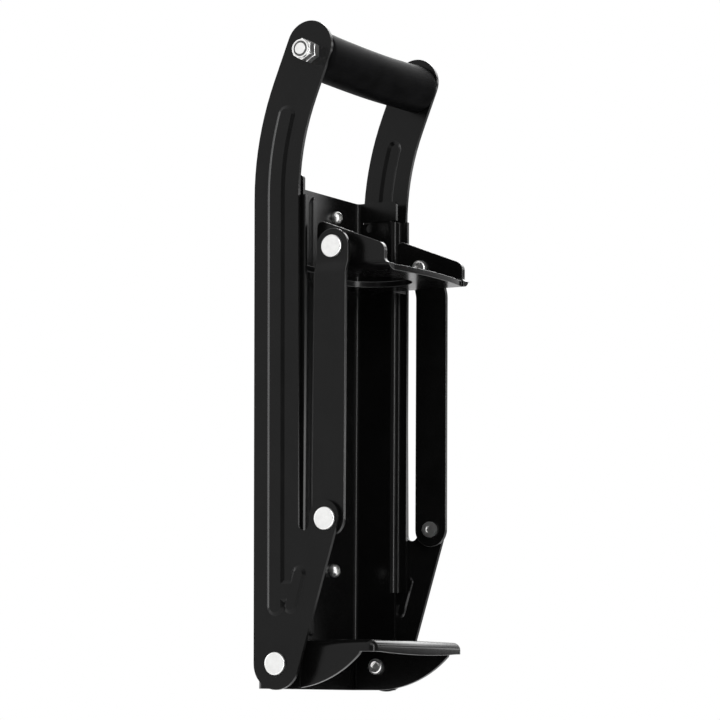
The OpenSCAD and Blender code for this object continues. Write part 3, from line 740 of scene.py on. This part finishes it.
def pale_floor():
    bm = bmesh.new()
    bmesh.ops.create_grid(bm, x_segments=1, y_segments=1, size=FLOOR_REACH)
    material, tree, shader = new_material("pale_floor")
    mottle = noise(tree, place_of(tree), FLOOR_MOTTLE_SCALE)
    tree.links.new(ramp(tree, mottle, FLOOR_MOTTLE), shader.inputs["Base Color"])
    shader.inputs["Roughness"].default_value = FLOOR_ROUGHNESS
    obj = mesh_object("floor", bm, material)
    obj.location = (0, 0, FLOOR_Z)


pale_floor()


# Lamps: soft boxes that face the middle of the part

MIDDLE = Vector((0, -0.03, 0.17))

# Azimuth from +X towards +Y and height above the level in degrees, distance from the middle,
# width and height of the face in metres, and power in watts
LAMPS = {
    "key": (228, 38, 1.7, 1.0, 1.0, 8),
    "edge_strip": (254, 8, 1.6, 0.3, 1.5, 14),
    "rear": (96, 10, 1.6, 1.0, 1.0, 7),
    "right_front": (-30, 16.5, 1.5, 0.6, 0.2, 1.5),
    "right_low": (-30, 1.6, 1.5, 0.7, 0.2, 1.3),
    "right_high": (4, 32, 1.5, 1.2, 0.6, 11),
}


def softbox(name, azimuth, rise, distance, width, height, watts):
    data = bpy.data.lights.new(name, "AREA")
    data.shape = "RECTANGLE"
    data.size = width
    data.size_y = height
    data.energy = watts
    lamp = bpy.data.objects.new(name, data)
    place = MIDDLE + distance * direction(math.radians(azimuth), math.radians(rise))
    lamp.location = place
    lamp.rotation_euler = (MIDDLE - place).to_track_quat("-Z", "Y").to_euler()
    scene.collection.objects.link(lamp)


for name, settings in LAMPS.items():
    softbox(name, *settings)


# World: even light on the part, and a white room for the camera and in reflections

WHITE = (1, 1, 1, 1)
AMBIENT = 0.8
ROOM_WHITE = 1.0
ROOM_DIM = 0.15
ROOM_DIM_AT = -0.42
ROOM_WHITE_AT = -0.05


def larger(tree, one, other):
    node = add_node(tree, "ShaderNodeMath", operation="MAXIMUM")
    tree.links.new(one, node.inputs[0])
    tree.links.new(other, node.inputs[1])
    return node.outputs[0]


def room_brightness(tree):
    """White all round, and dim only towards the front of the part, by direction in the world."""
    ways = tree.nodes.new("ShaderNodeSeparateXYZ")
    tree.links.new(tree.nodes.new("ShaderNodeTexCoord").outputs["Generated"], ways.inputs[0])
    room = add_node(tree, "ShaderNodeMapRange",
                    {"From Min": ROOM_DIM_AT, "From Max": ROOM_WHITE_AT,
                     "To Min": ROOM_DIM, "To Max": ROOM_WHITE},
                    interpolation_type="SMOOTHSTEP")
    tree.links.new(ways.outputs["Y"], room.inputs["Value"])
    return room.outputs["Result"]


def studio_world():
    world = bpy.data.worlds.new("studio")
    world.use_nodes = True
    scene.world = world
    tree = world.node_tree
    tree.nodes.clear()
    rays = tree.nodes.new("ShaderNodeLightPath").outputs
    seen = rays["Is Camera Ray"]
    for kind in ("Is Glossy Ray", "Is Transmission Ray"):
        seen = larger(tree, seen, rays[kind])
    ambient = add_node(tree, "ShaderNodeBackground", {"Color": WHITE, "Strength": AMBIENT})
    white = add_node(tree, "ShaderNodeBackground", {"Color": WHITE, "Strength": ROOM_WHITE})
    # The camera itself sees plain white; the dimming is for reflections alone
    shown = larger(tree, rays["Is Camera Ray"], room_brightness(tree))
    tree.links.new(shown, white.inputs["Strength"])
    choose = tree.nodes.new("ShaderNodeMixShader")
    tree.links.new(seen, choose.inputs["Fac"])
    tree.links.new(ambient.outputs[0], choose.inputs[1])
    tree.links.new(white.outputs[0], choose.inputs[2])
    output = tree.nodes.new("ShaderNodeOutputWorld")
    tree.links.new(choose.outputs[0], output.inputs["Surface"])


studio_world()

scene.view_settings.view_transform = "Standard"
